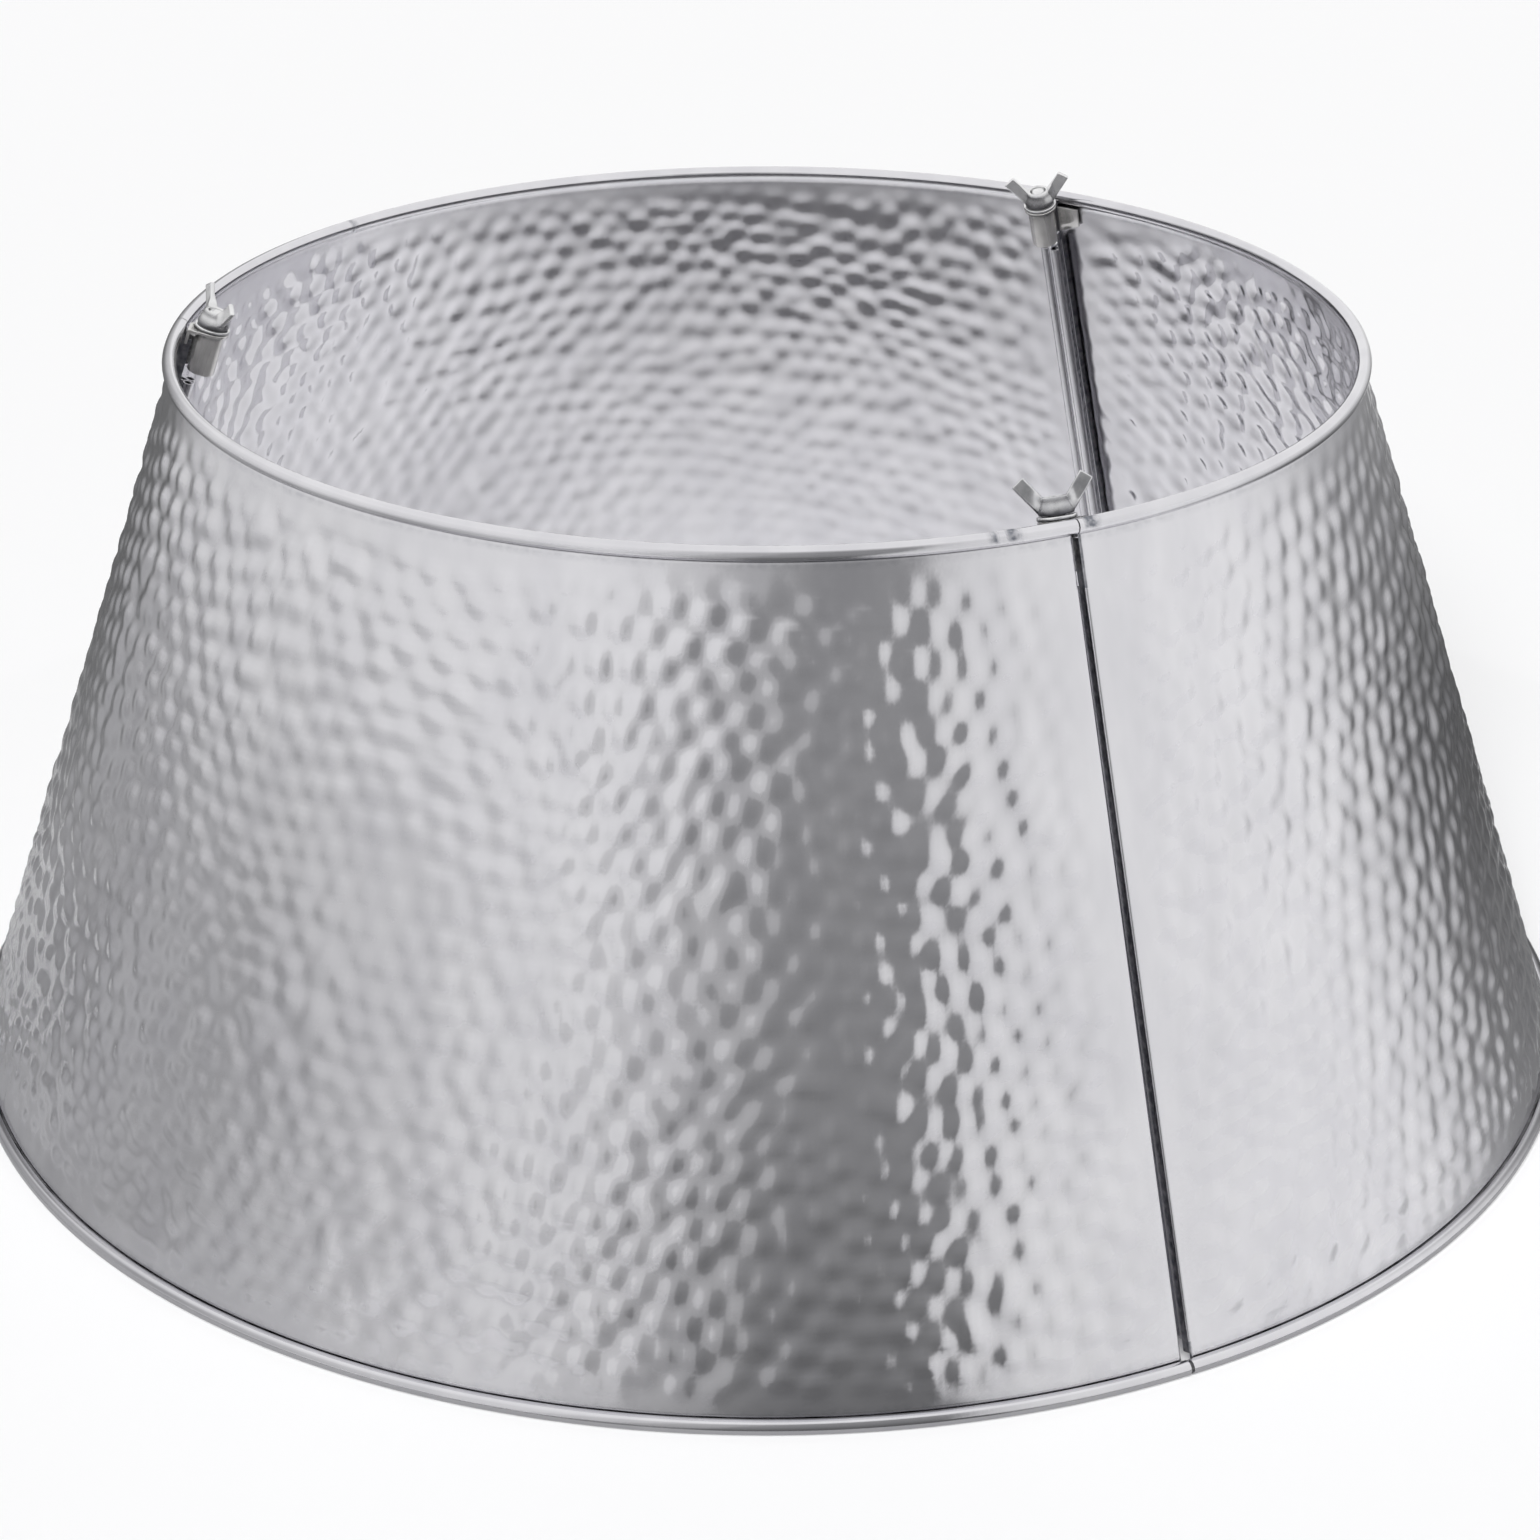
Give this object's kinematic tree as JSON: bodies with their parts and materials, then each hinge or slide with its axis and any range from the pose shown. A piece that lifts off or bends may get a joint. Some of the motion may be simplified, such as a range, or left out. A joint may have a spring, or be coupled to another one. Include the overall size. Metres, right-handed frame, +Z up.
{
  "type": "christmas tree collar",
  "caption": "Free-standing tapered ring of hammered sheet metal that hides a tree stand, its curved panels clamped end to end by wing nuts under the rolled top rim.",
  "frame": {"origin": "centre of the ring that stands on the floor, at floor level", "axes": "+Z up; -Y towards the side that the picture shows; +X to its right"},
  "size_m": [0.66, 0.66, 0.3003],
  "materials": {
    "hammered_sheet": "hammered, silver, satin",
    "rim_wire": "drawn wire, dull",
    "clamp_plate": "zinc plated, satin",
    "bright_zinc": "bright zinc plated"
  },
  "bodies": {
    "collar": {"panel_front": "hammered_sheet", "panel_right": "hammered_sheet", "panel_rear": "hammered_sheet", "top_wire_front": "rim_wire", "top_wire_right": "rim_wire", "top_wire_rear": "rim_wire", "bottom_wire_front": "rim_wire", "bottom_wire_right": "rim_wire", "bottom_wire_rear": "rim_wire", "clamp_sleeve_front": "clamp_plate", "clamp_eye_front": "clamp_plate", "clamp_stud_front": "bright_zinc", "clamp_sleeve_rear": "clamp_plate", "clamp_eye_rear": "clamp_plate", "clamp_stud_rear": "bright_zinc", "clamp_sleeve_left": "clamp_plate", "clamp_eye_left": "clamp_plate", "clamp_stud_left": "bright_zinc"},
    "washer_front": {"washer_front": "bright_zinc"},
    "wing_nut_front": {"wing_nut_front": "bright_zinc"},
    "washer_rear": {"washer_rear": "bright_zinc"},
    "wing_nut_rear": {"wing_nut_rear": "bright_zinc"},
    "washer_left": {"washer_left": "bright_zinc"},
    "wing_nut_left": {"wing_nut_left": "bright_zinc"}
  },
  "joints": [
    {"name": "nut_lift_front", "type": "slide", "parent": "collar", "child": "washer_front", "axis": [-0.1608, 0.2785, 0.9469], "range_m": [0, 0.006]},
    {"name": "nut_turn_front", "type": "hinge", "parent": "washer_front", "child": "wing_nut_front", "pos_m": [0.10937, -0.18943, 0.28532], "axis": [-0.1608, 0.2785, 0.9469], "range_deg": [0, 2160]},
    {"name": "nut_lift_rear", "type": "slide", "parent": "collar", "child": "washer_rear", "axis": [-0.1608, -0.2785, 0.9469], "range_m": [0, 0.006]},
    {"name": "nut_turn_rear", "type": "hinge", "parent": "washer_rear", "child": "wing_nut_rear", "pos_m": [0.10937, 0.18943, 0.28532], "axis": [-0.1608, -0.2785, 0.9469], "range_deg": [0, 2160]},
    {"name": "nut_lift_left", "type": "slide", "parent": "collar", "child": "washer_left", "axis": [0.3216, 0, 0.9469], "range_m": [0, 0.006]},
    {"name": "nut_turn_left", "type": "hinge", "parent": "washer_left", "child": "wing_nut_left", "pos_m": [-0.21874, 0, 0.28532], "axis": [0.3216, 0, 0.9469], "range_deg": [0, 2160]}
  ],
  "couplings": [
    {"joint": "nut_lift_front", "follows": "nut_turn_front", "m_per_rad": 0.00015915},
    {"joint": "nut_lift_rear", "follows": "nut_turn_rear", "m_per_rad": 0.00015915},
    {"joint": "nut_lift_left", "follows": "nut_turn_left", "m_per_rad": 0.00015915}
  ]
}
